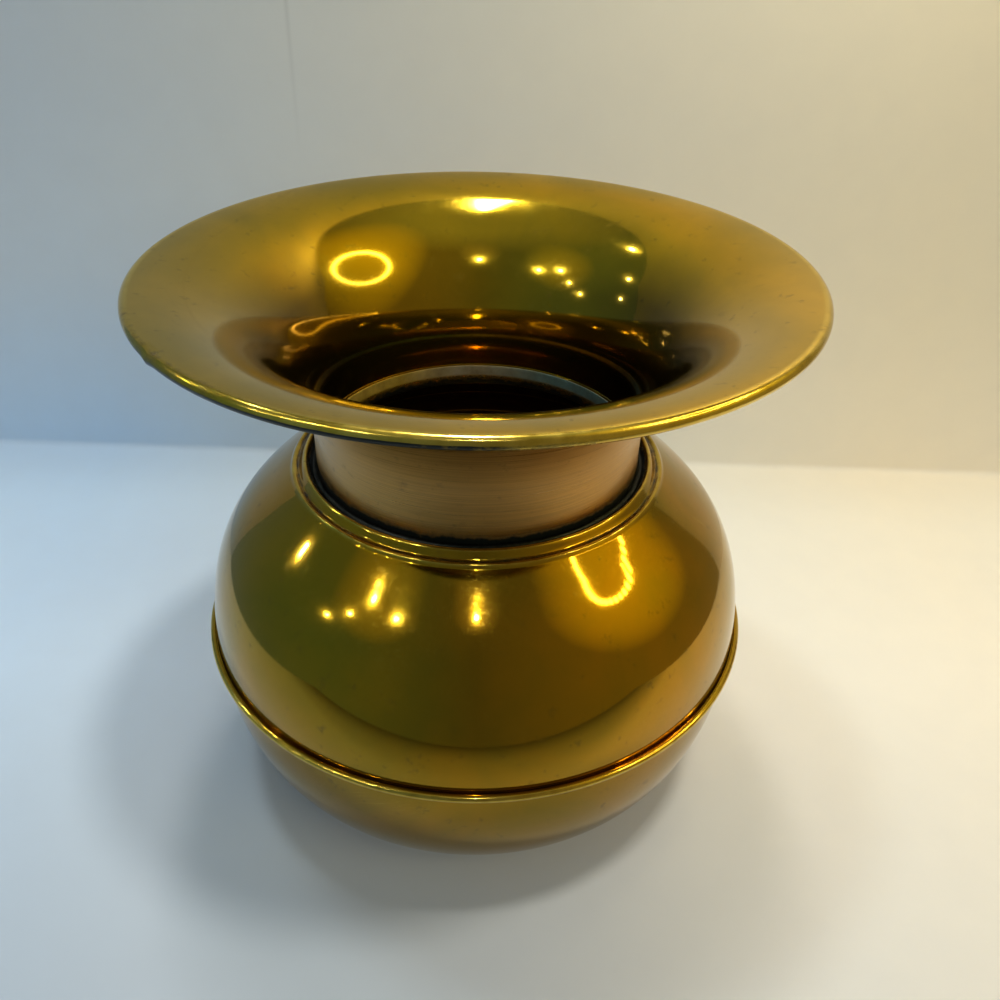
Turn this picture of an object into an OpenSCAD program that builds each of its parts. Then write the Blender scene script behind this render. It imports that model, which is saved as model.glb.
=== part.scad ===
// Brass spittoon: a spun funnel with a wired rim sits over the spigot of a two-part
// body, whose shells are hooked together in a folded seam round the belly. A ballast
// disc is shut in the recess under the bowl. +Z is up, and the origin is the middle
// of the foot, on the floor. Every profile is drawn as radius and height.

/* [Overall] */
// Height from the floor to the top of the rim
overall_h = 178; // [175:0.5:186]
// Diameter over the rolled rim
rim_d = 200; // [192:1:208]
// Outside diameter of the body just above and below its seam
body_d = 182; // [176:1:188]
// Diameter of the outer edge of the flat ring that the bowl stands on
foot_d = 124; // [114:1:128]
// Thickness of the brass sheet of every shell
wall = 0.8; // [0.6:0.05:0.95]

/* [Funnel] */
// Diameter of the rolled bead round the rim
bead_d = 3.6; // [3.2:0.1:4.4]
// Angle that the sheet turns round the rim wire
curl_turn = 285; // [250:5:290]
// Part of the ellipse's quarter that the flare uses, as an angle; less leaves the brim rising
flare_sweep = 86; // [80:1:88]
// Bore of the neck
neck_bore = 102.5; // [98:0.5:105]
// Height of the neck's upright part, from the valley that it stands in to where the flare starts
neck_h = 9.9; // [9.4:0.1:16]

/* [Collar] */
// Height of the collar's lip above the floor
lip_z = 116.2; // [112:0.2:119]
// Diameter of the lip's crest
lip_d = 113.8; // [112:0.2:116]
// Diameter of the lower step's crest, outside the lip
step_d = 123; // [121:0.2:126]
// How far the step's crest lies below the lip's crest
step_drop = 0.9; // [0.6:0.1:1.2]
// How far the groove between lip and step lies below the step's crest
dip_drop = 0.35; // [0.2:0.05:0.5]
// Depth of the valley that the neck stands in, below the lip's crest
valley_drop = 2; // [1.4:0.1:2.4]
// Width of the valley's flat floor, from the spigot outwards
valley_w = 2.1; // [1.8:0.1:2.6]
// Height of the spigot inside the neck, above the valley's floor
spigot_h = 6.8; // [5:0.2:9]
// Radial room between the spigot and the neck
slip_gap = 0.15; // [0.1:0.05:0.3]

/* [Shoulder] */
// Width of the cove between the step's crest and the dome
cove_w = 4.9; // [4.2:0.1:5.6]
// Height of that cove
cove_h = 8.1; // [7:0.1:9.5]
// Angle below level at which the dome starts
dome_fall = 43; // [36:1:48]
// Length of the dome curve's pull along that angle
dome_top_pull = 14.5; // [10:0.5:18]
// Length of the dome curve's pull straight up from the belly seam
dome_side_pull = 34; // [28:1:40]

/* [Belly seam] */
// Height of the seam's middle above the floor
seam_z = 55.5; // [50:0.5:60]
// How far the folded seam stands out from the body
fin_reach = 2.3; // [2.1:0.1:3]
// Outside radius where a shell bends out into the seam
seam_bend = 0.4; // [0.3:0.05:0.6]

/* [Bowl and foot] */
// Length of the bowl curve's pull straight down from the seam
bowl_pull = 29; // [24:1:34]
// Angle above level at which the bowl leaves the foot
foot_rise = 18; // [12:1:24]
// Length of the curve's pull along that angle
foot_pull = 17; // [13:0.5:20]
// Radius where the bowl rolls under onto its foot
foot_round = 4; // [3:0.5:6]
// Width of the flat ring that touches the floor
land_w = 2; // [1.5:0.1:3]
// Height of the recess under the bowl
recess_h = 9; // [7:0.5:12]
// How far the base plate is set in from the floor
plate_lift = 0.8; // [0.5:0.1:1.5]
// Height of the base plate's turned-up edge
plate_edge_h = 3.6; // [2.8:0.1:5]

/* [Fits] */
// Room between the base plate's edge and the recess
plate_gap = 0.1; // [0.05:0.05:0.2]
// Room round the ballast disc
ballast_gap = 0.3; // [0.2:0.1:0.6]
// Thin room between pieces that are folded, seated or soldered together
seat_gap = 0.05; // [0.02:0.01:0.1]

/* [Hidden] */

turn_facets = 180;
wire_facets = 48;
long_steps = 28;
short_steps = 8;
bead_steps = 24;

brass = "#8c7a2e";
neck_brass = "#7d6430";
iron = "#4a4846";
solder_grey = "#6f7274";

// The neck and the spigot inside it
neck_r = neck_bore / 2;
spigot_r = neck_r - slip_gap;
valley_z = lip_z - valley_drop;
neck_foot_z = valley_z + seat_gap;
valley_bend = 0.5;
neck_fillet = 1.6;

// The rolled rim
rim_r = rim_d / 2;
bead_r = bead_d / 2;
bead_centre = [rim_r - bead_r, overall_h - bead_r];
wire_r = bead_r - wall - seat_gap;

// The flare is part of an ellipse that leaves the neck upright and meets the bead at a tangent
flare_z = valley_z + neck_h;
rough_reach = (rim_r - bead_r - neck_r) / (1 - cos(flare_sweep));
rough_drop = (overall_h - flare_z) / sin(flare_sweep);
brim_rise = atan(rough_drop * cos(flare_sweep) / (rough_reach * sin(flare_sweep)));
brim_end = bead_centre + bead_r * [-sin(brim_rise), cos(brim_rise)];
flare_reach = (brim_end[0] - neck_r) / (1 - cos(flare_sweep));
flare_drop = (brim_end[1] - flare_z) / sin(flare_sweep);

// The collar's crests and the hollows between them
lip = [lip_d / 2, lip_z];
step = [step_d / 2, lip_z - step_drop];
dip = [(lip[0] + step[0]) / 2, step[1] - dip_drop];
valley = [spigot_r + valley_w, valley_z];
step_round = 1.2;
cove_fall = 66;
step_side = step + step_round * [sin(cove_fall), cos(cove_fall) - 1];
cove_pull = cove_h / 3;
dome_top = step + [cove_w, -cove_h];

// The seam: the bowl's edge is folded over the shoulder's flange
body_r = body_d / 2;
fin_h = 3 * wall + 2 * seat_gap;
fold_centre = [body_r + fin_reach - fin_h / 2, seam_z];
flange_top = seam_z + wall / 2;
// The shoulder's flange ends just past the centre of the fold
flange_tip = 0.1;
flange_edge = fold_centre[0] + flange_tip;
bowl_flange = seam_z - fin_h / 2;
// How far the bowl's edge laps back over the flange, inwards from the centre of the fold
fold_lap = 0.45;
// How far the solder stays inside the body's skin, and its least thickness
solder_inset = 0.1;
solder_web = 0.25;

// The foot, the recess and what is shut in it
foot_r = foot_d / 2;
land_round = 1.2;
recess_round = 1.5;
recess_r = foot_r - land_w - land_round;
plate_r = recess_r - plate_gap;
plate_round = 1.2;
plate_top = plate_lift + wall;
ballast_r = plate_r - wall - ballast_gap;
ballast_chamfer = 1.2;
base_fillet = 0.6;

function arc(centre, radius, from, to, steps) =
    [for (i = [0:steps]) let (a = from + (to - from) * i / steps) centre + radius * [cos(a), sin(a)]];

function curve(a, b, c, d, steps) =
    [for (i = [0:steps]) let (t = i / steps, u = 1 - t) u*u*u*a + 3*u*u*t*b + 3*u*t*t*c + t*t*t*d];

// A wave from one level point to the next
function wave(a, b, steps) =
    [for (i = [0:steps]) let (t = i / steps, rise = (1 - cos(180 * t)) / 2)
        [a[0] + (b[0] - a[0]) * t, a[1] + (b[1] - a[1]) * rise]];

// Points that repeat where two stretches meet are dropped
function joined(points) =
    [for (i = [0:len(points) - 1])
        if (i == 0 || norm(points[i] - points[max(i - 1, 0)]) > 0.001) points[i]];

function right_of(a, b) = let (way = (b - a) / norm(b - a)) [way[1], -way[0]];

function shifted(path, i, by) =
    let (last = len(path) - 1,
         before = right_of(path[max(i, 1) - 1], path[max(i, 1)]),
         after = right_of(path[min(i, last - 1)], path[min(i, last - 1) + 1]),
         both = before + after)
    path[i] + by * 2 * both / (both * both);

// The outline of a sheet: its outer face is the path, and its metal lies to the right of it
function sheet(path, thickness) =
    concat(path, [for (i = [len(path) - 1:-1:0]) shifted(path, i, thickness)]);

module revolved(outline) {
    rotate_extrude($fn = turn_facets) polygon(outline);
}

// From the neck's foot, up the inside, out along the brim and round the wire
function funnel_path() =
    joined(concat(
        [[neck_r, neck_foot_z]],
        [for (i = [0:long_steps]) let (u = flare_sweep * i / long_steps)
            [neck_r + flare_reach * (1 - cos(u)), flare_z + flare_drop * sin(u)]],
        arc(bead_centre, bead_r, 90 + brim_rise, 90 + brim_rise - curl_turn, bead_steps)));

// From the spigot's top, down its outside, over the collar and the dome to the seam
function shoulder_path() =
    joined(concat(
        [[spigot_r, valley_z + spigot_h]],
        arc([spigot_r + valley_bend, valley_z + valley_bend], valley_bend, 180, 270, short_steps),
        wave(valley, lip, short_steps),
        wave(lip, dip, short_steps),
        wave(dip, step, short_steps),
        arc(step - [0, step_round], step_round, 90, 90 - cove_fall, short_steps),
        curve(step_side,
              step_side + cove_pull * [cos(cove_fall), -sin(cove_fall)],
              dome_top - cove_pull * [cos(dome_fall), -sin(dome_fall)],
              dome_top, short_steps),
        curve(dome_top,
              dome_top + dome_top_pull * [cos(dome_fall), -sin(dome_fall)],
              [body_r, flange_top + seam_bend + dome_side_pull],
              [body_r, flange_top + seam_bend], long_steps),
        arc([body_r + seam_bend, flange_top + seam_bend], seam_bend, 180, 270, short_steps),
        [[flange_edge, flange_top]]));

// From the end of the fold, round the fin, down the bowl, round the foot and into the recess
function bowl_path() =
    let (roll_end = [foot_r + foot_round * sin(foot_rise), foot_round * (1 - cos(foot_rise))])
    joined(concat(
        [[fold_centre[0] - fold_lap, seam_z + fin_h / 2]],
        arc(fold_centre, fin_h / 2, 90, -90, 2 * short_steps),
        arc([body_r + seam_bend, bowl_flange - seam_bend], seam_bend, 90, 180, short_steps),
        curve([body_r, bowl_flange - seam_bend],
              [body_r, bowl_flange - seam_bend - bowl_pull],
              roll_end + foot_pull * [cos(foot_rise), sin(foot_rise)],
              roll_end, long_steps),
        arc([foot_r, foot_round], foot_round, foot_rise - 90, -90, short_steps),
        arc([recess_r + land_round, land_round], land_round, 270, 180, short_steps),
        arc([recess_r - recess_round, recess_h - recess_round], recess_round, 0, 90, short_steps),
        [[0, recess_h]]));

module funnel() {
    color(neck_brass) revolved(sheet(funnel_path(), wall));
}

module rim_wire() {
    color(iron) rotate_extrude($fn = turn_facets) translate(bead_centre) circle(wire_r, $fn = wire_facets);
}

module shoulder() {
    color(brass) revolved(sheet(shoulder_path(), wall));
}

module bowl() {
    color(brass) revolved(sheet(bowl_path(), wall));
}

// A fillet of solder between the neck and the collar's inner slope
module neck_solder() {
    inner_r = neck_r + wall + seat_gap;
    floor_z = valley_z + seat_gap;
    slope = [for (p = wave(valley, lip, short_steps)) p + [0, seat_gap]];
    fillet_centre = [inner_r + neck_fillet, floor_z + neck_fillet];
    color(solder_grey) rotate_extrude($fn = turn_facets) intersection() {
        polygon(concat([[inner_r, floor_z]], arc(fillet_centre, neck_fillet, 270, 180, short_steps)));
        polygon(concat([[inner_r, lip_z], [inner_r, floor_z]], slope));
    }
}

// The solder that seals the folded seam from inside, in the notch between the two bends
module seam_solder() {
    bend_r = seam_bend + wall + seat_gap;
    bend_x = body_r + seam_bend;
    above = [bend_x, flange_top + seam_bend];
    below = [bend_x, bowl_flange - seam_bend];
    inner = acos((seam_bend + wall - solder_inset) / bend_r);
    outer = asin((above[1] - below[1] - solder_web) / (2 * bend_r));
    color(solder_grey) revolved(concat(
        arc(above, bend_r, 180 + inner, 180 + outer, short_steps),
        arc(below, bend_r, 180 - outer, 180 - inner, short_steps)));
}

module ballast() {
    low = plate_top + seat_gap;
    high = recess_h - seat_gap;
    inner = ballast_r - ballast_chamfer;
    color(iron) revolved([[0, low], [inner, low], [ballast_r, low + ballast_chamfer],
                          [ballast_r, high - ballast_chamfer], [inner, high], [0, high]]);
}

// A shallow cup, its edge turned up against the recess
module base_plate() {
    round_centre = [plate_r - plate_round, plate_lift + plate_round];
    path = joined(concat([[plate_r, plate_lift + plate_edge_h]],
                         arc(round_centre, plate_round, 0, -90, short_steps),
                         [[0, plate_lift]]));
    color(brass) revolved(sheet(path, wall));
}

// Solder in the corner between the base plate's round and the inside of the foot
module base_solder() {
    round_r = plate_round + seat_gap;
    centre = [plate_r - plate_round, plate_lift + plate_round];
    low = plate_lift - seat_gap;
    inner = asin((plate_round - base_fillet) / round_r);
    color(solder_grey) revolved(concat(
        [[recess_r - seat_gap, low], [recess_r - seat_gap, centre[1]]],
        arc(centre, round_r, 0, inner - 90, short_steps),
        [[centre[0] + round_r * sin(inner), low]]));
}

funnel();
rim_wire();
shoulder();
bowl();
neck_solder();
seam_solder();
ballast();
base_plate();
base_solder();
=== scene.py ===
# %% [markdown]
# A brass spittoon, spun from sheet in four shells. A funnel with a wired rim stands on the
# spigot of a shoulder, a fold round the belly hooks the shoulder to the bowl, and a plate
# shuts the ballast in under the foot. The imported parts give the sizes. This file gives them
# their smooth skins, their worn finish with some painted light and shade, and a small paper
# corner to stand in.

# %% The imported parts
import math
import bmesh
import bpy
from mathutils import Matrix, Vector, noise


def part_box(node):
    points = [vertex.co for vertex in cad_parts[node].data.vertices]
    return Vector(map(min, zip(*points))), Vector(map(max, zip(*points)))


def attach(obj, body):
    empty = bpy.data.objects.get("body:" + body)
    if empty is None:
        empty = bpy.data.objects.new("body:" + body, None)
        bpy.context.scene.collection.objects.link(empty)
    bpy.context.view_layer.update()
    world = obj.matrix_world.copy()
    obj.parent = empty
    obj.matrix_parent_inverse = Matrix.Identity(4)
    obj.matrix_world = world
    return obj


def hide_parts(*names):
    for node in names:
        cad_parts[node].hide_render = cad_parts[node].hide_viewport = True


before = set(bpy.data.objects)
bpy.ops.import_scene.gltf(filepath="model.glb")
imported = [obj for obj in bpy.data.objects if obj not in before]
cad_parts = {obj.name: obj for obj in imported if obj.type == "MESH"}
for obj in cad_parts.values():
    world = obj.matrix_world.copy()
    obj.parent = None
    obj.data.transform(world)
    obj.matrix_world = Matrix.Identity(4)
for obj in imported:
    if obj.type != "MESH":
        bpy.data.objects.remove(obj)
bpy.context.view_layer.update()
print("packed parts:", sorted(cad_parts))

# %% [markdown]
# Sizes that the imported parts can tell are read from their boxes. The rest are the part's own
# driving sizes, in metres and degrees. Only the collar's lip, dip, step and slope were read
# again from the photograph, from close crops, so the skin shows them truer than the packed
# part does. A table of names is easier to keep right than numbers in the work.

# %% Sizes read from the parts, and the sizes of the sheet work
MM = 0.001
rim_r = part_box("funnel")[1].x
rim_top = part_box("funnel")[1].z
neck_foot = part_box("funnel")[0].z
spigot_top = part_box("shoulder")[1].z
fin_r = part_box("bowl")[1].x
fin_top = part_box("bowl")[1].z
plate_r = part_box("base_plate")[1].x
plate_low, plate_high = (corner.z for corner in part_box("base_plate"))
wall = 0.8 * MM
cut_edge = 0.12 * MM
bead_r = 1.8 * MM
curl_turn = 285
neck_r = 51.25 * MM
neck_h = 9.9 * MM
flare_sweep = 86
seat_gap = 0.05 * MM
spigot_r = neck_r - 0.15 * MM
valley_z = neck_foot - seat_gap
valley_bend = 0.5 * MM
valley_r = spigot_r + 2.1 * MM
lip = Vector((55.7, 116.6)) * MM
step = Vector((59.4, 114.4)) * MM
dip = Vector((58.2, 114.0)) * MM
step_round = 0.8 * MM
cove_fall = 56
cove_w, cove_h = 1.4 * MM, 1.3 * MM
slope_fall, dome_fall = 39.5, 42
dome_r = 66.4 * MM
dome_top_pull, dome_side_pull = 14 * MM, 32 * MM
body_r = 91 * MM
seam_bend = 0.4 * MM
fin_h = 3 * wall + 2 * seat_gap
seam_z = fin_top - fin_h / 2
bowl_pull = 29 * MM
foot_rise = 18
foot_pull, foot_round = 17 * MM, 4 * MM
foot_r = 62 * MM
land_w, land_round = 2 * MM, 1.2 * MM
recess_h, recess_round = 9 * MM, 1.5 * MM
print(f"rim {2000 * rim_r:.1f} mm across, {1000 * rim_top:.1f} mm high, fold at {1000 * seam_z:.1f} mm")

# %% [markdown]
# A spinner reads a profile as a chain of bends and straights. Each function here gives the
# points (radius, height) of one such stretch, and the last strings them together. A curve
# object could carry them too, but a list of points can also keep the distance along it.

# %% Arcs, pulled curves, waves and straight runs
def heading(angle):
    """A unit step in the profile's plane, at an angle in degrees above level."""
    return Vector((math.cos(math.radians(angle)), math.sin(math.radians(angle))))


def arc(centre, radius, start, end, steps):
    """Points on a circle, from one heading to another."""
    centre = Vector(centre)
    return [centre + radius * heading(start + (end - start) * i / steps) for i in range(steps + 1)]


def curve(a, b, c, d, steps):
    """A stretch from a to d that two handles, b and c, pull."""
    a, b, c, d = (Vector(p) for p in (a, b, c, d))
    points = []
    for i in range(steps + 1):
        t = i / steps
        u = 1 - t
        points.append(u * u * u * a + 3 * u * u * t * b + 3 * u * t * t * c + t * t * t * d)
    return points


def wave(a, b, steps):
    """Half a cosine wave from one level point to the next."""
    return [Vector((a[0] + (b[0] - a[0]) * i / steps,
                    a[1] + (b[1] - a[1]) * (1 - math.cos(math.pi * i / steps)) / 2))
            for i in range(steps + 1)]


def run(a, b, steps):
    """A straight stretch."""
    a, b = Vector(a), Vector(b)
    return [a.lerp(b, i / steps) for i in range(steps + 1)]


def joined(*stretches):
    """One profile from many stretches, without points that fall on each other."""
    points = []
    for p in (p for stretch in stretches for p in stretch):
        if not points or (p - points[-1]).length > 1e-3 * MM:
            points.append(p)
    return points


# %% [markdown]
# Each shell of the real piece was turned on a lathe: a flat disc was pressed over a wooden
# chuck until it took its profile. The operator for that is a spin. The profile of the
# visible face is spun a full turn, and solidify then gives the sheet its thickness behind
# that face. The profile is drawn so that its metal lies to the right of it, so the faces
# have to look to its left; one face is measured, and all are turned round if it doesn't.
# The distance along the profile is kept on the points, for lathe marks that follow the sheet.

# %% Spin a profile into a shell of sheet
TURNS = 192


def spun_sheet(path, thickness):
    """Spins the visible face and gives the sheet its thickness behind it."""
    bm = bmesh.new()
    along = bm.verts.layers.float.new("along")
    row = []
    for i, p in enumerate(path):
        v = bm.verts.new((p[0], 0, p[1]))
        v[along] = 0 if i == 0 else row[-1][along] + (p - path[i - 1]).length
        row.append(v)
    edges = [bm.edges.new(pair) for pair in zip(row, row[1:])]
    bmesh.ops.spin(bm, geom=row + edges, cent=(0, 0, 0), axis=(0, 0, 1), angle=math.tau,
                   steps=TURNS, use_merge=True)
    bmesh.ops.remove_doubles(bm, verts=bm.verts[:], dist=1e-3 * MM)
    bmesh.ops.recalc_face_normals(bm, faces=bm.faces[:])
    bm.faces.ensure_lookup_table()
    bm.verts.ensure_lookup_table()
    first = min(bm.faces, key=lambda f: sum(v[along] for v in f.verts))
    way = path[1] - path[0]
    middle = first.calc_center_median()
    out = Vector((middle.x, middle.y, 0)).normalized()
    if first.normal.dot(out * -way[1] + Vector((0, 0, way[0]))) < 0:
        bmesh.ops.reverse_faces(bm, faces=bm.faces[:])
    front = len(bm.verts)
    bmesh.ops.solidify(bm, geom=bm.faces[:], thickness=thickness)
    behind = bm.verts.layers.float.new("behind")
    bm.verts.ensure_lookup_table()
    for v in bm.verts[front:]:
        v[behind] = 1
    return bm


def meshed(bm, name):
    """Turns a bmesh into a smooth mesh that keeps its sharp edges."""
    mesh = bpy.data.meshes.new(name)
    bm.to_mesh(mesh)
    bm.free()
    mesh.shade_smooth()
    mesh.set_sharp_from_angle(angle=math.radians(40))
    return mesh


def finished(bm, name):
    """Makes an object at the origin that rides on the vessel."""
    mesh = meshed(bm, name)
    piece = bpy.data.objects.new(name, mesh)
    bpy.context.scene.collection.objects.link(piece)
    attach(piece, "root")
    tris = sum(len(f.vertices) - 2 for f in mesh.polygons)
    print(f"{name}: {len(mesh.vertices)} points, {tris} triangles")
    return piece


# %% [markdown]
# The cut edge of a sheet is never a knife edge. A narrow bevel on the two rims of each shell
# catches a thread of light, as a filed edge does. The edges are found by the angle between
# their faces.

# %% Soften the cut edges of a sheet
CUT_ANGLE = 60


def filed(bm, width):
    """Bevels the edges where a face turns sharply into the cut."""
    limit = math.radians(CUT_ANGLE)
    edges = [e for e in bm.edges if e.is_manifold and e.calc_face_angle(0) > limit]
    bmesh.ops.bevel(bm, geom=edges, offset=width, segments=2, profile=0.5, affect="EDGES",
                    material=-1, clamp_overlap=True)


# %% [markdown]
# Hand-worked sheet is never quite true. Slow waves about a tenth of a millimetre deep
# make the reflections swim a little, which tells the eye that the metal is thin. Each point
# moves inwards only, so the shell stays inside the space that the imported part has.

# %% Slow waves in the sheet
def waved(bm, depth, length, seed):
    """Draws each point inwards by a slow noise."""
    for v in bm.verts:
        r = math.hypot(v.co.x, v.co.y)
        if r < MM:
            continue
        swell = noise.noise(Vector((v.co.x, v.co.y, 1.6 * v.co.z)) / length + Vector((seed, 0, 0)))
        inward = depth * 0.5 * (1 - swell)
        v.co.x -= inward * v.co.x / r
        v.co.y -= inward * v.co.y / r


# %% [markdown]
# Hands polish what they touch, and dirt stays where they can't reach. Some of the values
# also stand for light: bright where a highlight is painted, dark where painted shade falls.
# On a turned piece a plain rule says where that is: how far a point lies from an edge, and in
# which direction round the axis. Weights could be painted by hand, but a rule follows the
# sizes. Each rule's value is kept on the points, and the materials read it later.

# %% Wear, dirt, painted highlight and painted shade on the points
def held(value):
    """Keeps a value between 0 and 1."""
    return min(1, max(0, value))


def painted(bm, **layers):
    """Writes one value per point for each named layer, from a rule on radius and height."""
    for name, rule in layers.items():
        layer = bm.verts.layers.float.new(name)
        for v in bm.verts:
            v[layer] = held(rule(math.hypot(v.co.x, v.co.y), v.co.z, v))


def near(value, middle, reach):
    """1 at the middle, falling to 0 at the reach."""
    return max(0, 1 - abs(value - middle) / reach)


def around(v, middle, reach):
    """1 at a direction round the axis, in degrees from +X, falling to 0 at the reach."""
    turn = math.degrees(math.atan2(v.co.y, v.co.x)) - middle
    return near((turn + 180) % 360 - 180, 0, reach)


# %% [markdown]
# The funnel's profile runs up the inside of the neck, out along a quarter of an ellipse and
# round the wire of the rim. Its ellipse is worked out from the neck, the bead and the angle
# at which it meets the bead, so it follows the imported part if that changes.

# %% The funnel's profile
FLARE_STEPS = 84
bead = Vector((rim_r - bead_r, rim_top - bead_r))
sweep = math.radians(flare_sweep)
flare_low = valley_z + neck_h
rough_reach = (bead[0] - neck_r) / (1 - math.cos(sweep))
rough_drop = (rim_top - flare_low) / math.sin(sweep)
brim_slope = rough_drop * math.cos(sweep) / (rough_reach * math.sin(sweep))
brim_rise = math.degrees(math.atan(brim_slope))
brim_end = bead + bead_r * heading(90 + brim_rise)
flare_reach = (brim_end[0] - neck_r) / (1 - math.cos(sweep))
flare_drop = (brim_end[1] - flare_low) / math.sin(sweep)
flare = []
for i in range(FLARE_STEPS + 1):
    turn = sweep * i / FLARE_STEPS
    flare.append(Vector((neck_r + flare_reach * (1 - math.cos(turn)),
                         flare_low + flare_drop * math.sin(turn))))
funnel_path = joined(run((neck_r, neck_foot), (neck_r, flare_low), 8), flare,
                     arc(bead, bead_r, 90 + brim_rise, 90 + brim_rise - curl_turn, 36))
print(f"flare {1000 * flare_reach:.1f} mm wide and {1000 * flare_drop:.1f} mm high")

# %% [markdown]
# The bead is rubbed bright all round, and that brightness also paints a highlight on it. At
# the front left it is painted darker, as painted shade, most of all on its underside; there
# it took a knock that left a small bruise. The neck's foot is painted black down in the
# groove, as tarnish and painted shade, and the mouth is painted darker brown towards the
# throat, least at the back, as painted shade. The bruise is a real dent in the points,
# because a bump in the material would leave the outline whole.

# %% The funnel and its rolled rim
KNOCK, BRUISE = -140, -142
funnel_mesh = spun_sheet(funnel_path, wall)
filed(funnel_mesh, cut_edge)


def outside(v):
    """1 on the funnel's outer face, 0 inside the mouth."""
    return v[funnel_mesh.verts.layers.float["behind"]]


def on_bead(r, z):
    return near(math.hypot(r - bead[0], z - bead[1]), bead_r, 0.6 * MM) * (r > bead[0] - MM)


# Painted highlight with wear: bright all round the bead, and darker at the front left as painted shade.
def bead_wear(r, z, v):
    return on_bead(r, z) * (1 - 0.9 * min(1, 2 * around(v, KNOCK, 28)))


# Painted shade: black in the groove at the neck's foot, with tarnish, and dark under the bead at the
# front left.
def funnel_grime(r, z, v):
    foot_dirt = min(1, 2 * near(z, neck_foot, 4.4 * MM)) * outside(v)
    under_bead = (z < bead[1]) * min(1, 2 * around(v, -130, 60))
    return foot_dirt + on_bead(r, z) * (0.35 * around(v, KNOCK, 28) + under_bead)


# Painted shade: the mouth grows darker brown towards the throat, least at the back.
def throat_stain(r, z, v):
    stain_top = (154 + 16 * (1 - around(v, 90, 60))) * MM
    return 0.5 * (1 - outside(v)) * held((stain_top - z) / (14 * MM)) * (1.7 - 1.5 * around(v, 90, 70))


painted(funnel_mesh, wear=bead_wear, grime=funnel_grime, stain=throat_stain)
for v in funnel_mesh.verts:
    hurt = on_bead(math.hypot(v.co.x, v.co.y), v.co.z) * around(v, BRUISE, 1.5)
    v.co.x *= 1 + 0.004 * hurt
    v.co.y *= 1 + 0.004 * hurt
    v.co.z -= 0.5 * MM * hurt
waved(funnel_mesh, 0.12 * MM, 60 * MM, 3)
funnel = finished(funnel_mesh, "funnel_skin")
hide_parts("funnel")

# %% [markdown]
# The shoulder starts as the spigot inside the neck, turns through the valley that the neck
# stands in, rises to the lip, dips to a lower step, and falls as a dome to its flange in the
# fold. The steps could be rings laid on a plain dome, but on the real piece they are one
# sheet with it, so they are drawn in its profile.

# %% The shoulder's profile
spigot = run((spigot_r, spigot_top), (spigot_r, valley_z + valley_bend), 8)
valley = arc((spigot_r + valley_bend, valley_z + valley_bend), valley_bend, 180, 270, 6)
crests = wave((valley_r, valley_z), lip, 16) + wave(lip, dip, 12) + wave(dip, step, 12)
step_side = step + step_round * (heading(90 - cove_fall) - Vector((0, 1)))
dome_top = step + Vector((cove_w, -cove_h))
flange_top = seam_z + wall / 2
cove = curve(step_side, step_side + cove_h / 2 * heading(-cove_fall),
             dome_top - cove_h / 8 * heading(-slope_fall), dome_top, 16)
chord = (slope_fall + dome_fall) / 2
reach = (dome_r - dome_top[0]) / math.cos(math.radians(chord))
dome_start = dome_top + reach * heading(-chord)
slope = curve(dome_top, dome_top + reach / 3 * heading(-slope_fall),
              dome_start - reach / 3 * heading(-dome_fall), dome_start, 16)
dome = curve(dome_start, dome_start + dome_top_pull * heading(-dome_fall),
             (body_r, flange_top + seam_bend + dome_side_pull), (body_r, flange_top + seam_bend), 72)
flange = arc((body_r + seam_bend, flange_top + seam_bend), seam_bend, 180, 270, 6)
fold_r = fin_r - fin_h / 2
step_top = arc(step - Vector((0, step_round)), step_round, 90, 90 - cove_fall, 10)
shoulder_path = joined(spigot, valley, crests, step_top, cove, slope, dome, flange,
                       [Vector((fold_r + 0.1 * MM, flange_top))])
print(f"collar: lip {1000 * lip[1]:.1f} mm and step {1000 * step[1]:.1f} mm high")

# %% [markdown]
# The two crests of the collar are rubbed. The groove between lip and neck is painted black, as
# old flux, dirt and painted shade, and the dip between the crests a little darker, as painted
# shade. Inside the throat a pale crust is painted on the top of the spigot, as a painted
# highlight: it makes a face that lies in shade look lit, green to the right and golden to the
# left. It could be a piece of its own, but it has no thickness to speak of, so a painted value
# is enough.

# %% The shoulder with its stepped collar
CRUST_DEPTH = 0.62


def beside(r, z, at, reach):
    """1 at a point of the profile, falling to 0 at the reach."""
    return near(math.hypot(r - at[0], z - at[1]), 0, reach)


def collar_wear(r, z, v):
    return beside(r, z, lip, 1.1 * MM) + beside(r, z, step, 1.4 * MM)


# Painted shade with old dirt: black in the groove round the neck, and darker in the dip.
def collar_grime(r, z, v):
    return 1.6 * beside(r, z, (spigot_r + MM, valley_z), 4.2 * MM) + 0.6 * beside(r, z, dip, 0.9 * MM)


# Painted highlight: a pale crust on the spigot's top, so that it looks lit though it lies in shade.
def throat_crust(r, z, v):
    crust_foot = spigot_top - CRUST_DEPTH * (spigot_top - valley_z)
    return (r < spigot_r - 0.6 * wall) * held((z - crust_foot) / MM)


shoulder_mesh = spun_sheet(shoulder_path, wall)
filed(shoulder_mesh, cut_edge)
painted(shoulder_mesh, wear=collar_wear, grime=collar_grime, crust=throat_crust)
waved(shoulder_mesh, 0.10 * MM, 55 * MM, 11)
shoulder = finished(shoulder_mesh, "shoulder_skin")
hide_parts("shoulder")

# %% [markdown]
# The bowl starts inside the fold: its edge laps over the shoulder's flange, turns a tight U
# round it and drops into the belly. Below, it rolls under onto a flat ring and climbs into
# the recess, where its floor closes at the axis. A ring could stand for the fold, but then
# no sheet would turn in it, and the dark line above the fold would be missing.

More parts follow.
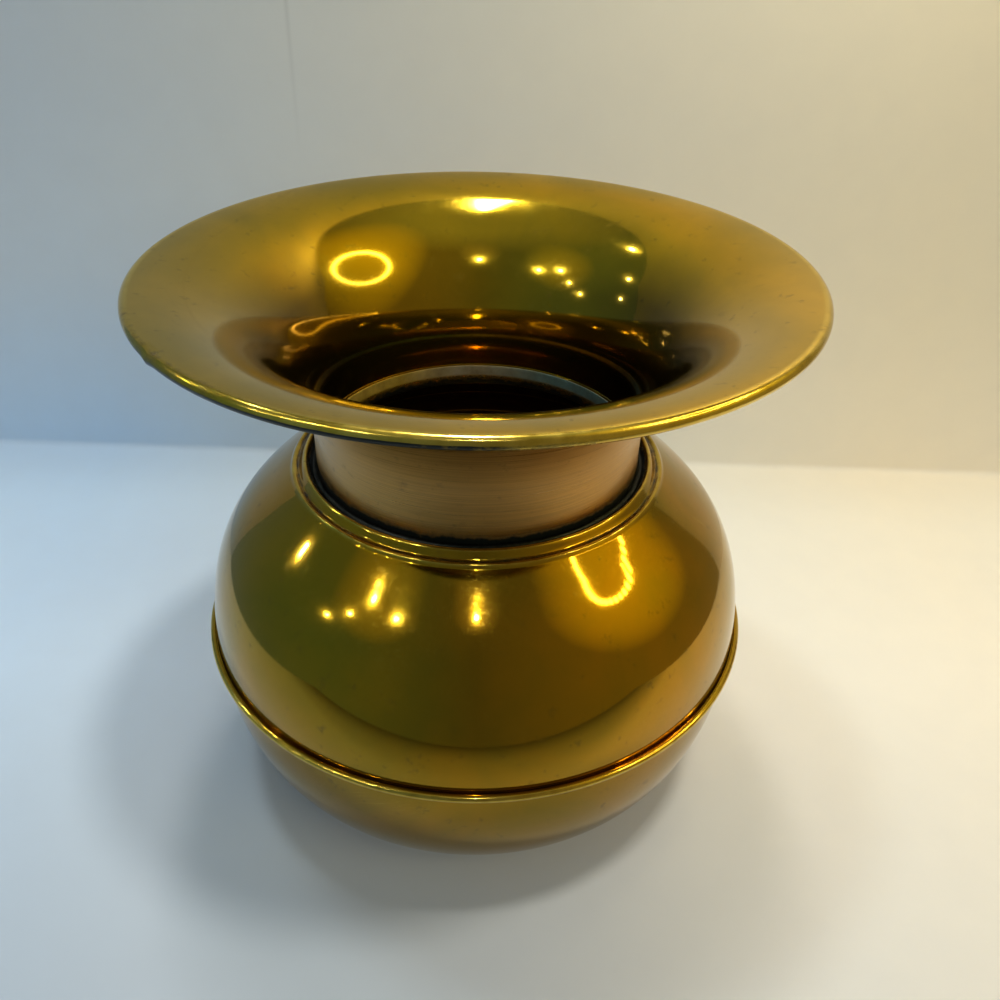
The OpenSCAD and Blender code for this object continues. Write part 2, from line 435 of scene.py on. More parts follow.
# %% The bowl with the fold and the foot
bowl_flange = seam_z - fin_h / 2
roll_end = Vector((foot_r, foot_round)) + foot_round * heading(foot_rise - 90)
recess_r = foot_r - land_w - land_round
fold = run((fold_r - 0.45 * MM, seam_z + fin_h / 2), (fold_r, seam_z + fin_h / 2), 2)
fold += arc((fold_r, seam_z), fin_h / 2, 90, -90, 20)
fold += arc((body_r + seam_bend, bowl_flange - seam_bend), seam_bend, 90, 180, 6)
belly = curve((body_r, bowl_flange - seam_bend), (body_r, bowl_flange - seam_bend - bowl_pull),
              roll_end + foot_pull * heading(foot_rise), roll_end, 64)
foot = arc((foot_r, foot_round), foot_round, foot_rise - 90, -90, 8)
foot += run((foot_r, 0), (recess_r + land_round, 0), 3)
foot += arc((recess_r + land_round, land_round), land_round, 270, 180, 8)
foot += run((recess_r, land_round), (recess_r, recess_h - recess_round), 5)
foot += arc((recess_r - recess_round, recess_h - recess_round), recess_round, 0, 90, 8)
foot += run((recess_r - recess_round, recess_h), (0, recess_h), 12)
bowl_mesh = spun_sheet(joined(fold, belly, foot), wall)
filed(bowl_mesh, cut_edge)


# Wear with painted highlight along the fold's edge, and wear on the foot's ring.
def fold_wear(r, z, v):
    return (abs(z - seam_z) < fin_h) * near(r, fin_r, 1.3 * MM) + beside(r, z, (foot_r, 0), 3 * MM)


# Painted shade just under the fold, and darker in the foot's recess.
def bowl_grime(r, z, v):
    under_fold = 0.5 * beside(r, z, (body_r, bowl_flange - seam_bend), 1.6 * MM)
    return under_fold + near(r, recess_r, 2 * MM) * (z < recess_h + wall)


painted(bowl_mesh, wear=fold_wear, grime=bowl_grime)
waved(bowl_mesh, 0.10 * MM, 55 * MM, 23)
bowl = finished(bowl_mesh, "bowl_skin")
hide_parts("bowl")

# %% [markdown]
# Solder in the groove round the neck is a fillet that a soldering iron smoothed by hand, so
# its width wanders. A concave corner profile is spun, and then every ring of points is drawn
# back towards the corner by a noise that runs round the neck.

# %% The solder round the neck
def soldered(corner, points, seed, least=0.72):
    """Spins a closed corner profile and lets its size wander round the vessel."""
    bm = bmesh.new()
    ring = [bm.verts.new((p[0], 0, p[1])) for p in points]
    edges = [bm.edges.new(pair) for pair in zip(ring, ring[1:] + ring[:1])]
    bmesh.ops.spin(bm, geom=ring + edges, cent=(0, 0, 0), axis=(0, 0, 1), angle=math.tau,
                   steps=TURNS, use_merge=True)
    bmesh.ops.remove_doubles(bm, verts=bm.verts[:], dist=1e-3 * MM)
    bmesh.ops.recalc_face_normals(bm, faces=bm.faces[:])
    for v in bm.verts:
        out = Vector((v.co.x, v.co.y, 0)).normalized()
        swell = noise.noise(out * 9 + Vector((seed, 0, 0)))
        swell += 0.4 * noise.noise(out * 38 + Vector((0, seed, 0)))
        size = least + (1 - least) * held(0.5 + swell)
        r = math.hypot(v.co.x, v.co.y)
        here = Vector((corner[0] + (r - corner[0]) * size, corner[1] + (v.co.z - corner[1]) * size))
        v.co = out * here[0] + Vector((0, 0, here[1]))
    return bm


fillet = 1.6 * MM
neck_corner = Vector((neck_r + wall + seat_gap, valley_z + seat_gap))
fillet_points = [neck_corner] + arc(neck_corner + Vector((fillet, fillet)), fillet, 270, 180, 10)
neck_solder_mesh = soldered(neck_corner, fillet_points, 5)
neck_solder = finished(neck_solder_mesh, "neck_solder_fillet")
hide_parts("neck_solder")

# %% [markdown]
# The base plate is a shallow cup pressed from the same sheet, its edge turned up against the
# recess. Nobody polished it, so it keeps its lathe lines, and only a ring of it is rubbed.

# %% The base plate
plate_round = 1.2 * MM
plate_path = run((plate_r, plate_high), (plate_r, plate_low + plate_round), 4)
plate_path += arc((plate_r - plate_round, plate_low + plate_round), plate_round, 0, -90, 8)
plate_path += run((plate_r - plate_round, plate_low), (0, plate_low), 24)
plate_mesh = spun_sheet(joined(plate_path), wall)
filed(plate_mesh, 0.1 * MM)
painted(plate_mesh,
        wear=lambda r, z, v: 0.5 * near(r, 0.7 * plate_r, 0.25 * plate_r),
        grime=lambda r, z, v: near(r, plate_r, 4 * MM))
base_plate = finished(plate_mesh, "base_plate_skin")
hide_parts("base_plate")

# %% [markdown]
# The plate is soldered all round from below, in the groove between its rounded edge and the
# recess. The solder's section follows that round edge on one side and the recess's wall on
# the other, so it lies against both.

# %% The base plate's solder
base_corner = Vector((recess_r - seat_gap, plate_low - seat_gap))
round_r = plate_round + seat_gap
plate_bend = Vector((plate_r - plate_round, plate_low + plate_round))
solder_start = math.degrees(math.asin(0.6 * MM / round_r))
base_points = [base_corner, Vector((base_corner[0], plate_bend[1]))]
base_points += arc(plate_bend, round_r, 0, -(90 - solder_start), 10)
solder_foot = plate_bend[0] + round_r * math.sin(math.radians(solder_start))
base_points += [Vector((solder_foot, base_corner[1]))]
base_solder_mesh = soldered(Vector((base_corner[0], plate_bend[1])), joined(base_points), 8, 0.9)
base_solder = finished(base_solder_mesh, "base_solder_fillet")
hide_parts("base_solder")

# %% [markdown]
# The camera stands where the photograph was taken: its place and its three turns were
# fitted to the circles of the rim, the collar and the fold.

# %% Camera
camera_data = bpy.data.cameras.new("camera")
camera_data.sensor_width = 36
camera_data.lens = 34.56
camera_data.clip_start = 0.01
camera = bpy.data.objects.new("camera", camera_data)
bpy.context.scene.collection.objects.link(camera)
camera_place = Matrix.Translation((0, -269.93 * MM, 277.92 * MM))
camera_pitch, camera_yaw, camera_roll = 34.04, 1.63, 1.39
camera.matrix_world = (camera_place @ Matrix.Rotation(math.radians(-camera_yaw), 4, "Z")
                       @ Matrix.Rotation(math.radians(90 - camera_pitch), 4, "X")
                       @ Matrix.Rotation(math.radians(camera_roll), 4, "Z"))
bpy.context.scene.camera = camera
print("camera at", [round(x, 3) for x in camera.matrix_world.translation])

# %% [markdown]
# Node trees get long, so a few small helpers build them. One adds a node and fills its
# inputs, with a value or with a link to another node's output. The others are the kinds that
# come up all the time: sums, mixes, noise, and a stretch of a value's range. The same tree
# could be wired by hand in the editor, node by node.

# %% Helpers for node trees
def add(tree, kind, inputs={}, **settings):
    made = tree.nodes.new(kind)
    for name, value in settings.items():
        setattr(made, name, value)
    for name, value in inputs.items():
        if isinstance(value, bpy.types.NodeSocket):
            tree.links.new(value, made.inputs[name])
        else:
            made.inputs[name].default_value = value
    return made


def maths(tree, operation, a, b=0.0, clamp=False):
    return add(tree, "ShaderNodeMath", {0: a, 1: b}, operation=operation, use_clamp=clamp).outputs[0]


def plus(tree, a, b, clamp=False):
    return maths(tree, "ADD", a, b, clamp)


def times(tree, a, b, clamp=False):
    return maths(tree, "MULTIPLY", a, b, clamp)


def greater(tree, a, b):
    return maths(tree, "MAXIMUM", a, b)


def blended(tree, factor, a, b):
    """Colour a where the factor is 0, colour b where it is 1."""
    a, b = (c if isinstance(c, bpy.types.NodeSocket) else (*c, 1) for c in (a, b))
    made = add(tree, "ShaderNodeMix", {0: factor, 6: a, 7: b}, data_type="RGBA")
    return made.outputs[2]


def between(tree, factor, a, b):
    """Value a where the factor is 0, value b where it is 1."""
    return add(tree, "ShaderNodeMix", {0: factor, 2: a, 3: b}).outputs[0]


def levelled(tree, value, low, high, to_low=0.0, to_high=1.0):
    """Stretches low..high to a new range and stops at its ends."""
    return add(tree, "ShaderNodeMapRange", {0: value, 1: low, 2: high, 3: to_low, 4: to_high},
               clamp=True).outputs[0]


def noisy(tree, where, scale, detail, roughness=0.5, seed=None, distortion=0.0):
    """Noise from 0 to 1. A seed gives it a fourth direction, so that no two pieces match."""
    inputs = {"Vector": where, "Scale": scale, "Detail": detail, "Roughness": roughness,
              "Distortion": distortion}
    if seed is None:
        return add(tree, "ShaderNodeTexNoise", inputs).outputs["Fac"]
    inputs["W"] = seed
    return add(tree, "ShaderNodeTexNoise", inputs, noise_dimensions="4D").outputs["Fac"]


def attribute(tree, name):
    """A value that was painted on the points."""
    return add(tree, "ShaderNodeAttribute", attribute_name=name).outputs["Fac"]


def node_group(name, inputs, outputs):
    """An empty group; gives its tree, what comes in by name and where its results go."""
    tree = bpy.data.node_groups.new(name, "ShaderNodeTree")
    for socket, default in inputs.items():
        made = tree.interface.new_socket(name=socket, in_out="INPUT", socket_type="NodeSocketFloat")
        made.default_value = default
    for socket in outputs:
        tree.interface.new_socket(name=socket, in_out="OUTPUT", socket_type="NodeSocketFloat")
    return tree, tree.nodes.new("NodeGroupInput").outputs, tree.nodes.new("NodeGroupOutput").inputs


def placed(tree, name, **inputs):
    """Puts a group into a tree and gives its outputs."""
    return add(tree, "ShaderNodeGroup", inputs, node_tree=bpy.data.node_groups[name]).outputs


def place(tree):
    """Where a point lies on the piece, in metres."""
    return add(tree, "ShaderNodeTexCoord").outputs["Object"]


# %% [markdown]
# Spinning leaves fine rings where the tool pressed, and polishing follows them. The rings
# are a noise that is read along the profile and only slowly round the vessel, so each line
# lasts for a while and then fades. A wave texture would give rings too, but each of them
# would be as deep as the next all the way round.

# %% Effect: lathe lines
tree, given, result = node_group("lathe_lines", {"Along": 0, "Spacing": 0.001, "Seed": 0}, ["Height"])
split = add(tree, "ShaderNodeSeparateXYZ", {0: place(tree)})
flat = add(tree, "ShaderNodeCombineXYZ", {"X": split.outputs["X"], "Y": split.outputs["Y"]})
unit = add(tree, "ShaderNodeVectorMath", {0: flat.outputs[0]}, operation="NORMALIZE")
circling = add(tree, "ShaderNodeVectorMath", {0: unit.outputs[0], "Scale": 1.4}, operation="SCALE")
lines_passed = maths(tree, "DIVIDE", given["Along"], given["Spacing"])
across = add(tree, "ShaderNodeCombineXYZ", {"Z": lines_passed})
where = add(tree, "ShaderNodeVectorMath", {0: circling.outputs[0], 1: across.outputs[0]},
            operation="ADD")
lines = noisy(tree, where.outputs[0], 1, 2, 0.6, given["Seed"])
tree.links.new(lines, result["Height"])
print("lathe lines:", len(tree.nodes), "nodes")

# %% [markdown]
# Brass that is handled and wiped tarnishes in clouds. A warped noise makes the clouds, and
# a second, finer one the mottling inside them. Both change the colour and the roughness
# only a little, because the eye reads even a small change in a mirror.

# %% Effect: tarnish clouds
tree, given, result = node_group("tarnish", {"Scale": 30, "Seed": 0}, ["Cloud", "Mottle"])
cloud = noisy(tree, place(tree), given["Scale"], 5, 0.55, given["Seed"], 0.6)
mottle = noisy(tree, place(tree), times(tree, given["Scale"], 7), 4, 0.65, given["Seed"])
tree.links.new(levelled(tree, cloud, 0.36, 0.66), result["Cloud"])
tree.links.new(levelled(tree, mottle, 0.35, 0.7), result["Mottle"])
print("tarnish:", len(tree.nodes), "nodes")

# %% [markdown]
# Two effects read what was painted on the points: wear on what hands and cloths touch, with
# the painted highlights that share it, and grime in what they can't reach, with the painted
# shade that shares it. Painted values alone would end in clean lines. Noise breaks them up:
# it thins the wear, and it shifts the edge of the grime and the shade.

# %% Effects: edge wear with painted highlight, grime with painted shade
# The wear mask also carries painted highlight.
tree, given, result = node_group("edge_wear", {"Wear": 0, "Scale": 160}, ["Mask"])
patchy = noisy(tree, place(tree), given["Scale"], 4, 0.6)
thinned = times(tree, given["Wear"], levelled(tree, patchy, 0.3, 0.55, 0.35, 1), True)
tree.links.new(thinned, result["Mask"])

# The grime mask also carries painted shade.
tree, given, result = node_group("grime", {"Grime": 0, "Scale": 220}, ["Mask"])
crumbs = noisy(tree, place(tree), given["Scale"], 5, 0.7)
edge = plus(tree, given["Grime"], levelled(tree, crumbs, 0.3, 0.7, -0.3, 0.3))
tree.links.new(levelled(tree, edge, 0.15, 0.75), result["Mask"])
print("edge wear and grime read what is painted on the points")

# %% [markdown]
# Fine scratches run in all directions, where the vessel was wiped and set down. Each set is
# one stretched noise: where it crosses its middle value it leaves a hair line. A second,
# slower noise lets the lines through only in patches, and three sets are turned and laid
# over each other.

# %% Effect: scratches
HAIR = 0.012
tree, given, result = node_group("scratches", {"Amount": 0.5, "Length": 14}, ["Mask"])
masks = []
for turn, seed in ((0.5, 1), (1.3, 5), (2.4, 9)):
    turned = add(tree, "ShaderNodeMapping", {"Vector": place(tree), "Rotation": (0.7 * turn, 0.3, turn)})
    stretch = add(tree, "ShaderNodeVectorMath", {0: turned.outputs[0], 1: (1, 60, 60)},
                  operation="MULTIPLY")
    hair = noisy(tree, stretch.outputs[0], given["Length"], 1, seed=seed)
    ridge = maths(tree, "ABSOLUTE", maths(tree, "SUBTRACT", hair, 0.5))
    patch = noisy(tree, turned.outputs[0], 22, 2, seed=seed)
    masks.append(times(tree, levelled(tree, ridge, 0, HAIR, 1, 0), levelled(tree, patch, 0.56, 0.66)))
all_sets = greater(tree, greater(tree, masks[0], masks[1]), masks[2])
tree.links.new(times(tree, all_sets, given["Amount"], True), result["Mask"])
print("node groups:", sorted(g.name for g in bpy.data.node_groups))

# %% [markdown]
# Old brass lies under a thin skin of tarnish: the colour of the clean metal goes deeper and
# greener in the clouds, and bright yellow where it is rubbed, which also paints highlights on
# the beads. It is nearly black in the corners, as tarnish and painted shade, and a darker brown
# down the mouth, as painted shade. A picture of brass could be laid on instead, but it would
# bring the light of another room. So the layers are built one over the other, in the order of
# the layers on the metal, with painted light and shade among them.

# %% Brass: the colour, from clean metal to crust, with painted light and shade
# The rubbed yellow also paints highlights on the beads and the fold, the near black also paints shade in
# the grooves and under the bead, the brown paints shade down the mouth, and the pale crust paints a
# highlight in the throat.
TARNISH_BLACK = (0.006, 0.009, 0.006)
RUBBED = (0.62, 0.44, 0.07)
STAIN = (0.055, 0.034, 0.006)
CRUST = (0.46, 0.42, 0.27)
VERDIGRIS = (0.22, 0.42, 0.42)


def coloured(name):
    """A new material; gives it with its tree and its shader's sockets."""
    made = bpy.data.materials.new(name)
    made.use_nodes = True
    return made, made.node_tree, made.node_tree.nodes["Principled BSDF"].inputs


def crust_colour(tree):
    """A painted highlight on the crust: pale in the middle, green to the right and golden to the left."""
    across = add(tree, "ShaderNodeSeparateXYZ", {0: place(tree)}).outputs["X"]
    green = levelled(tree, across, 0.002, 0.026)
    golden = levelled(tree, across, -0.028, -0.008, 1, 0)
    return blended(tree, golden, blended(tree, green, CRUST, VERDIGRIS), RUBBED)


def weathered(tree, colour, marks, mottle):
    """Lays painted shade down the mouth, scratches, wear with painted highlight, dirt with painted shade
    and the crust with its painted highlight over a metal's colour.
    """
    # Painted shade: darker brown down the funnel's mouth.
    colour = blended(tree, attribute(tree, "stain"), colour, STAIN)
    colour = blended(tree, times(tree, marks["scratch"], 0.5), colour, RUBBED)
    colour = blended(tree, marks["worn"], colour, RUBBED)
    colour = blended(tree, marks["dirt"], colour, TARNISH_BLACK)
    # Painted highlight in the throat, mottled with brown.
    flaked = blended(tree, times(tree, mottle, 0.5), crust_colour(tree), STAIN)
    return blended(tree, marks["crust"], colour, flaked)


# %% [markdown]
# A mirror finish is low roughness. Wear and scratches make it a little duller, and so does the
# painted highlight that rides on the wear; dirt and crust, with the painted shade and painted
# highlight that they carry, make it much duller and less of a metal. The outside of the neck
# was never polished: it keeps the satin of the spinning tool, so its lathe lines change its
# colour and its roughness, while on the polished faces they only whisper in the bump.

# %% Brass: roughness, metal and satin
def roughened(tree, rough, marks):
    """Adds what wear, dirt and crust, with the painted light and shade they carry, do to the roughness.
    """
    rubbed = greater(tree, marks["scratch"], marks["worn"])
    rough = plus(tree, rough, times(tree, rubbed, 0.12))
    rough = plus(tree, rough, times(tree, marks["dirt"], 0.3), True)
    return plus(tree, rough, times(tree, marks["crust"], 0.4), True)


def satin_side(tree, satin, seed, colour, rough, lines):
    """Finishes the side that lies behind with a satin colour, roughness and line spacing."""
    satin_colour, satin_rough, spacing = satin
    along = attribute(tree, "along")
    brushed = placed(tree, "lathe_lines", Along=along, Spacing=spacing, Seed=seed)["Height"]
    behind = attribute(tree, "behind")
    deeper = tuple(0.7 * c for c in satin_colour)
    streaks = blended(tree, levelled(tree, brushed, 0.35, 0.65), deeper, satin_colour)
    grain = levelled(tree, brushed, 0.3, 0.7, satin_rough - 0.08, satin_rough + 0.08)
    return (blended(tree, behind, colour, streaks), between(tree, behind, rough, grain),
            between(tree, behind, lines, times(tree, brushed, 4)))


def brass(name, clean, deep, gloss, dull, spacing, line_depth, seed, satin=None):
    """Brass sheet, with its marks read from the points."""
    made, tree, shader = coloured(name)
    clouds = placed(tree, "tarnish", Scale=24, Seed=seed)
    # The worn mark also carries painted highlight, and the dirt mark painted shade.
    marks = {"worn": placed(tree, "edge_wear", Wear=attribute(tree, "wear"))["Mask"],
             "dirt": placed(tree, "grime", Grime=attribute(tree, "grime"))["Mask"],
             "scratch": placed(tree, "scratches", Amount=0.6)["Mask"],
             "crust": attribute(tree, "crust")}
    along = attribute(tree, "along")
    lines = placed(tree, "lathe_lines", Along=along, Spacing=spacing, Seed=seed)["Height"]
    colour = blended(tree, clouds["Cloud"], clean, deep)
    dimmed = plus(tree, clouds["Cloud"], times(tree, clouds["Mottle"], 0.5))
    rough = levelled(tree, dimmed, 0.2, 1.3, gloss, dull)
    if satin:
        colour, rough, lines = satin_side(tree, satin, seed + 1, colour, rough, lines)
    covered = greater(tree, marks["dirt"], times(tree, marks["crust"], 2))
    cuts = times(tree, marks["scratch"], -0.0006 * MM)
    height = plus(tree, times(tree, lines, line_depth), cuts)
    bump = add(tree, "ShaderNodeBump", {"Height": height, "Distance": 1, "Strength": 1})
    tree.links.new(weathered(tree, colour, marks, clouds["Mottle"]), shader["Base Color"])
    tree.links.new(roughened(tree, rough, marks), shader["Roughness"])
    tree.links.new(levelled(tree, covered, 0, 1, 0.97, 0.5), shader["Metallic"])
    tree.links.new(bump.outputs[0], shader["Normal"])
    shader["Coat Weight"].default_value = 0.12
    shader["Coat Roughness"].default_value = 0.04
    return made


# %% [markdown]
# The body, the funnel and the base plate are the same alloy in three states. The body is the
# darkest gold, the funnel was wiped more often and is lighter, and the plate underneath was
# never polished. One function with a few numbers keeps them kin.

# %% Brass on the body, the funnel and the base plate
body_brass = brass("body_brass", (0.41, 0.212, 0.005), (0.27, 0.178, 0.007), 0.05, 0.11,
                   1.1 * MM, 0.0002 * MM, 3)
funnel_brass = brass("funnel_brass", (0.53, 0.325, 0.010), (0.36, 0.245, 0.011), 0.055, 0.12,
                     1.1 * MM, 0.0003 * MM, 7, satin=((0.54, 0.31, 0.085), 0.34, 0.3 * MM))
base_brass = brass("base_brass", (0.36, 0.24, 0.05), (0.22, 0.15, 0.03), 0.24, 0.45,
                   0.6 * MM, 0.002 * MM, 12)
funnel.data.materials.append(funnel_brass)
for piece in (shoulder, bowl):
    piece.data.materials.append(body_brass)
base_plate.data.materials.append(base_brass)
print("brass:", body_brass.name, funnel_brass.name, base_brass.name)

# %% [markdown]
# Old solder is grey lead and tin under a dark skin; round the neck it is made nearly black, as
# tarnish and painted shade in its groove. Iron is rough where it was cast and smoother where
# it was drawn. None of them was polished, so the mottling alone makes their colour and bump.
# The parts that no eye reaches keep the imported part's own mesh, and only get their material.

# %% Solder and iron
def plain_metal(name, light, dark, smooth, rough, scale, seed):
    """A dull metal, mottled between two colours."""
    made, tree, shader = coloured(name)
    clouds = placed(tree, "tarnish", Scale=scale, Seed=seed)
    tree.links.new(blended(tree, clouds["Mottle"], light, dark), shader["Base Color"])
    tree.links.new(levelled(tree, clouds["Cloud"], 0, 1, smooth, rough), shader["Roughness"])
    grain = times(tree, clouds["Mottle"], 0.02 * MM)
    bump = add(tree, "ShaderNodeBump", {"Height": grain, "Distance": 1})
    tree.links.new(bump.outputs[0], shader["Normal"])
    shader["Metallic"].default_value = 0.9
    return made


# Painted shade with tarnish: the neck's solder is nearly black, where its groove lies in shade.
old_solder = plain_metal("old_solder", (0.03, 0.032, 0.028), (0.008, 0.011, 0.008), 0.3, 0.5, 90, 2)
grey_solder = plain_metal("grey_solder", (0.22, 0.22, 0.21), (0.10, 0.10, 0.095), 0.3, 0.5, 90, 4)
cast_iron = plain_metal("cast_iron", (0.09, 0.085, 0.08), (0.05, 0.045, 0.04), 0.55, 0.75, 120, 6)
drawn_wire = plain_metal("drawn_wire", (0.20, 0.19, 0.18), (0.10, 0.08, 0.06), 0.3, 0.5, 150, 8)
neck_solder.data.materials.append(old_solder)
base_solder.data.materials.append(grey_solder)
for node, made in (("seam_solder", grey_solder), ("ballast", cast_iron), ("rim_wire", drawn_wire)):
    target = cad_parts[node]
    if not target.material_slots:
        target.data.materials.append(made)
    for material_slot in target.material_slots:
        material_slot.material = made
print("carried-over parts finished")

# %% [markdown]
# The vessel stands in a corner folded from white paper: a floor sheet that turns up into a
# wall. A cool lamp on the left and a warm one on the right tint it, and the paper's own colour
# carries more of that light as painted light: cool on the left, warm on the right, the wall a
# little apart from the floor, and warmer still in a patch high on the right of the wall. It is
# darker towards the front and its edge, and along a crease in the wall, as painted shade. Seen
# from behind, the wall lets the eye through, so the back of the vessel can be looked at
# without moving it.

# %% Paper: its colour, with painted light and shade
paper, tree, shader = coloured("paper")
across, along, up = add(tree, "ShaderNodeSeparateXYZ", {0: place(tree)}).outputs
upright = levelled(tree, up, 0.01, 0.10)
# Painted light: the paper is cool on the left and warm on the right, the wall apart from the floor.
left = blended(tree, upright, (0.67, 0.84, 1.0), (0.84, 0.91, 0.94))
right = blended(tree, upright, (1.0, 0.91, 0.72), (1.0, 0.90, 0.67))
tint = blended(tree, levelled(tree, across, -0.20, 0.22), left, right)
fibre = noisy(tree, place(tree), 60, 6)
tint = blended(tree, levelled(tree, fibre, 0.3, 0.8, 0, 0.06), tint, (0.55, 0.55, 0.55))
# Painted light: a warm patch high on the right of the wall.
warm = times(tree, levelled(tree, up, 0.235, 0.28), levelled(tree, across, -0.03, 0.06))
tint = blended(tree, warm, tint, (1.0, 0.88, 0.62))
# Painted shade: darker towards the front and to the front edge.
nearer = times(tree, levelled(tree, along, -0.25, 0.02, 0.5, 0),
               levelled(tree, across, -0.2, 0.12, 1, 0.3))
edge_fade = plus(tree, levelled(tree, along, -0.165, -0.12, 0.45, 0),
                 levelled(tree, along, -0.25, -0.165, 0.5, 0))
shade = greater(tree, nearer, edge_fade)
# Painted shade: a dark line along a crease in the wall.
from_crease = maths(tree, "ABSOLUTE", plus(tree, across, 0.083))
crease = times(tree, levelled(tree, from_crease, 0, 0.0015, 0.10, 0), levelled(tree, up, 0.16, 0.22))
shade = plus(tree, shade, crease, True)
tree.links.new(blended(tree, shade, tint, (0, 0, 0)), shader["Base Color"])
shader["Roughness"].default_value = 0.8
see_through = add(tree, "ShaderNodeBsdfTransparent")
from_behind = add(tree, "ShaderNodeNewGeometry").outputs["Backfacing"]
surface = add(tree, "ShaderNodeMixShader", {0: from_behind, 1: tree.nodes["Principled BSDF"].outputs[0],
                                            2: see_through.outputs[0]})
tree.links.new(surface.outputs[0], tree.nodes["Material Output"].inputs["Surface"])
print("paper:", len(tree.nodes), "nodes")

# %% [markdown]
# A sheet of paper is its edge's line pulled sideways, so the line is extruded once. It turns
# up in a narrow bend and not in a sharp corner, and the wall stands a little aslant, as the
# line between floor and wall does in the photograph. Its faces are seen from one side only,
# and the extrusion lists them in no fixed order, so all of them together say which way it looks.

# %% Paper: floor and wall
front, back, side, height = -0.25, 0.183, 0.38, 0.45
fold_turn, slant = 0.003, 0.045
profile = run((front, 0), (back - fold_turn, 0), 2)
profile += arc((back - fold_turn, fold_turn), fold_turn, -90, 0, 6)
profile += run((back, fold_turn), (back, height), 2)
sheet = bmesh.new()
edge = [sheet.verts.new((-side, p[0], p[1])) for p in joined(profile)]
lines = [sheet.edges.new(pair) for pair in zip(edge, edge[1:])]
wide = bmesh.ops.extrude_edge_only(sheet, edges=lines)["geom"]
far_edge = [g for g in wide if isinstance(g, bmesh.types.BMVert)]
bmesh.ops.translate(sheet, vec=(2 * side, 0, 0), verts=far_edge)
for v in sheet.verts:
    v.co.y -= max(0, v.co.y) / back * slant * v.co.x
sheet.normal_update()
if sum(f.normal.z for f in sheet.faces) < 0:
    bmesh.ops.reverse_faces(sheet, faces=sheet.faces[:])
sheet.normal_update()
facing = sorted((round(f.normal.y, 2), round(f.normal.z, 2)) for f in sheet.faces)
print("paper faces look", facing[0], "to", facing[-1])
mesh = meshed(sheet, "paper_corner")
mesh.materials.append(paper)
corner = bpy.data.objects.new("paper_corner", mesh)
bpy.context.scene.collection.objects.link(corner)

# %% [markdown]
# The lamps follow the highlights and the shadows: one white lamp high behind, a soft cool
# one on the left, a soft warm one on the right, a ring lamp, and a few small ones far off.
# Strength is the brightness of the disc itself, so a lamp can be moved without changing how
# it looks in the metal. Soft lamps stay out of the reflections, and the lamps that are there
# to be mirrored light no paper.

# %% Soft lamps and the highlight overhead
AIM = Vector((0, 0, 0.12))


def lamp(name, azimuth, elevation, distance, size, strength, colour,
         in_metal=True, on_paper=True, tall=None):
    """A round or oval lamp: azimuth 0 is behind the vessel and 90 to its right."""
    data = bpy.data.lights.new(name, "AREA")
    data.shape = "ELLIPSE"
    data.size, data.size_y = size, tall or size
    data.energy = strength * math.pi * math.pi * data.size * data.size_y / 4
    data.color = colour
    a, e = math.radians(azimuth), math.radians(elevation)
    to = Vector((math.sin(a) * math.cos(e), math.cos(a) * math.cos(e), math.sin(e)))
    light = bpy.data.objects.new(name, data)
    light.location = AIM + to * distance
    light.rotation_euler = to.to_track_quat("Z", "Y").to_euler()
    light.visible_glossy = in_metal
    light.visible_diffuse = on_paper
    bpy.context.scene.collection.objects.link(light)
    return light


lamp("overhead", -5, 76, 2.9, 0.30, 22, (1, 0.92, 0.86), in_metal=False, tall=0.90)
lamp("overhead_glint", -4, 71, 2.9, 0.17, 130, (1, 0.97, 0.95), on_paper=False, tall=1.15)
lamp("left_soft", -60, 75.5, 2.9, 0.35, 40, (0.76, 0.89, 1), in_metal=False)
lamp("right_soft", 100, 77, 2.9, 0.35, 76, (1, 0.97, 0.91), in_metal=False)
lamp("right_fill", 135, 32, 1.1, 0.7, 1.9, (1, 0.84, 0.52), in_metal=False)
lamp("front_fill", 170, 30, 2.0, 1.2, 1.6, (0.90, 0.95, 1), in_metal=False)
print("soft lamps:", len(bpy.data.lights))

# %% [markdown]
# The metal mirrors a ring lamp on the right and a handful of small lamps across the room. A
# ring lamp has no shape of its own in Blender, so forty small discs stand in an oval. Each
# small lamp is a direction and a size, read from where its spot shows on the shoulder.

# %% The ring lamp and the small lamps
RING = 40
for i in range(RING):
    turn = math.tau * i / RING
    azimuth = 95 + 20 * math.cos(turn)
    elevation = 43.8 + 10.4 * math.sin(turn)
    lamp(f"ring_{i}", azimuth, elevation, 2.2, 0.075, 24, (1, 0.88, 0.55), on_paper=False)
spots = [(180, 53.2, 1), (-136.9, 45.2, 0.9), (-121.3, 44.8, 0.9), (-116.7, 36, 0.6),
         (-109.4, 28.4, 0.6), (-73.5, 37.5, 0.7), (-58.5, 53, 1), (-80, 26, 0.6)]
for i, (azimuth, elevation, size) in enumerate(spots):
    lamp(f"spot_{i}", azimuth, elevation, 2.8, 0.05 * size, 950, (1, 0.98, 0.96), on_paper=False)
print("ring lamp of", RING, "discs, small lamps:", len(spots))

# %% [markdown]
# The upper right of the wall has a warm patch of light in the photograph, from a lamp outside
# the picture. A small disc near the wall gives it. Unlike the other lamps it aims at the wall
# and not at the vessel, and the metal doesn't mirror it.

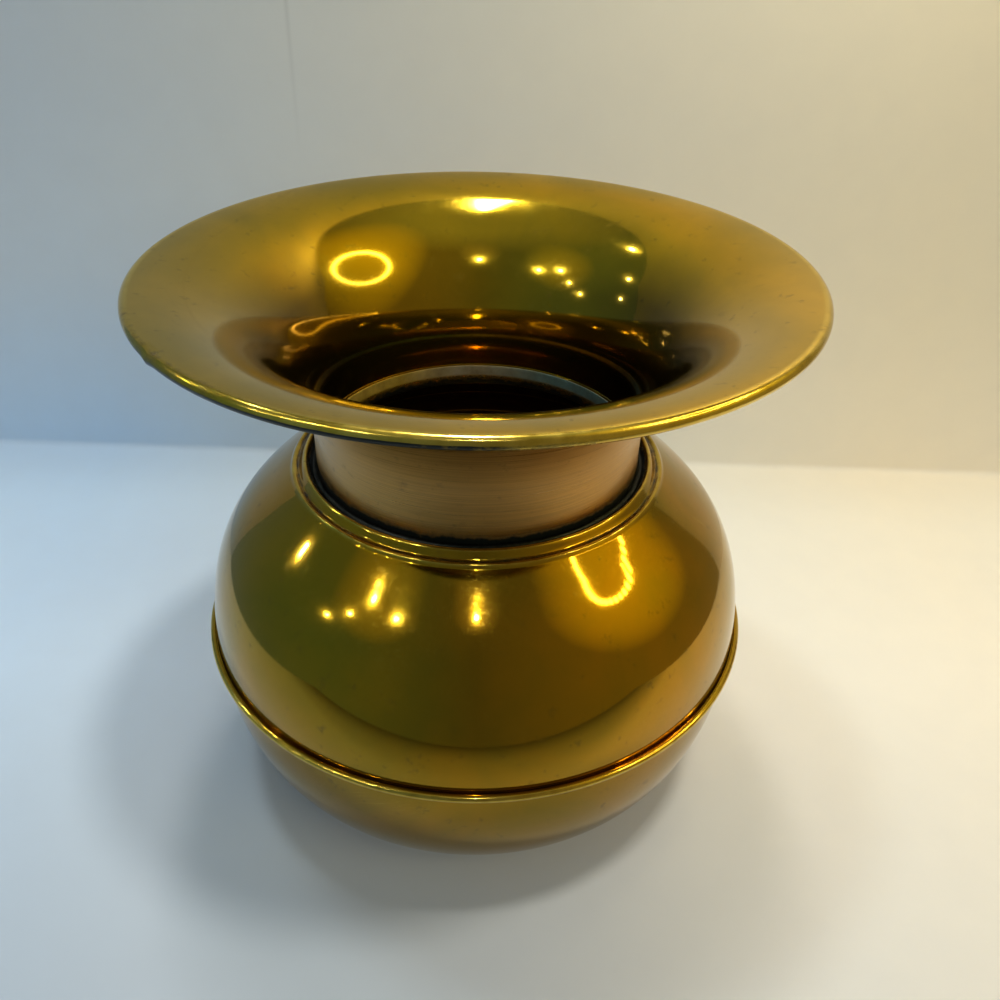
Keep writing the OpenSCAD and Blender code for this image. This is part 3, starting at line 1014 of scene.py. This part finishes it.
# %% The warm patch on the wall
glow = lamp("wall_glow", 60, 40, 0.4, 0.12, 9, (1, 0.88, 0.60), in_metal=False)
glow.location = (0.17, 0.07, 0.42)
glow_aim = Vector((0.11, back, 0.31))
glow.rotation_euler = (Vector(glow.location) - glow_aim).to_track_quat("Z", "Y").to_euler()
print("lamps:", len(bpy.data.lights))

# %% [markdown]
# Beyond the paper the room is dim, and the metal mirrors it: bluish on the left, amber on the
# right where the ring lamp lights it, and a little brighter overhead. The camera itself sees
# a pale backdrop there, so the part stands on a light ground from every side.

# %% World
world = bpy.data.worlds.new("room")
bpy.context.scene.world = world
world.use_nodes = True
tree = world.node_tree
way = add(tree, "ShaderNodeTexCoord").outputs["Generated"]
parts = add(tree, "ShaderNodeSeparateXYZ", {0: way}).outputs
room = blended(tree, levelled(tree, parts["X"], -0.9, 0), (0.15, 0.24, 0.28), (0.13, 0.135, 0.12))
room = blended(tree, levelled(tree, parts["X"], 0, 0.9), room, (0.32, 0.25, 0.09))
room = blended(tree, levelled(tree, parts["Z"], 0.84, 0.97), room, (0.36, 0.38, 0.30))
glows = [(95, 40, 34, (1.1, 0.85, 0.05)), (-122, 46, 18, (0.42, 0.42, 0.20)),
         (180, 57, 9, (0.35, 0.33, 0.25))]
for azimuth, elevation, spread, strong in glows:
    a, e = math.radians(azimuth), math.radians(elevation)
    to = (math.sin(a) * math.cos(e), math.cos(a) * math.cos(e), math.sin(e))
    towards = add(tree, "ShaderNodeVectorMath", {0: way, 1: to}, operation="DOT_PRODUCT").outputs["Value"]
    room = blended(tree, levelled(tree, towards, math.cos(math.radians(spread)), 1), room, strong)
rays = add(tree, "ShaderNodeLightPath").outputs
mirrored = blended(tree, rays["Is Glossy Ray"], (0.05, 0.085, 0.13), room)
tree.links.new(blended(tree, rays["Is Camera Ray"], mirrored, (0.80, 0.80, 0.78)),
               tree.nodes["Background"].inputs["Color"])
bpy.context.scene.view_settings.view_transform = "Standard"
print("world:", len(tree.nodes), "nodes")
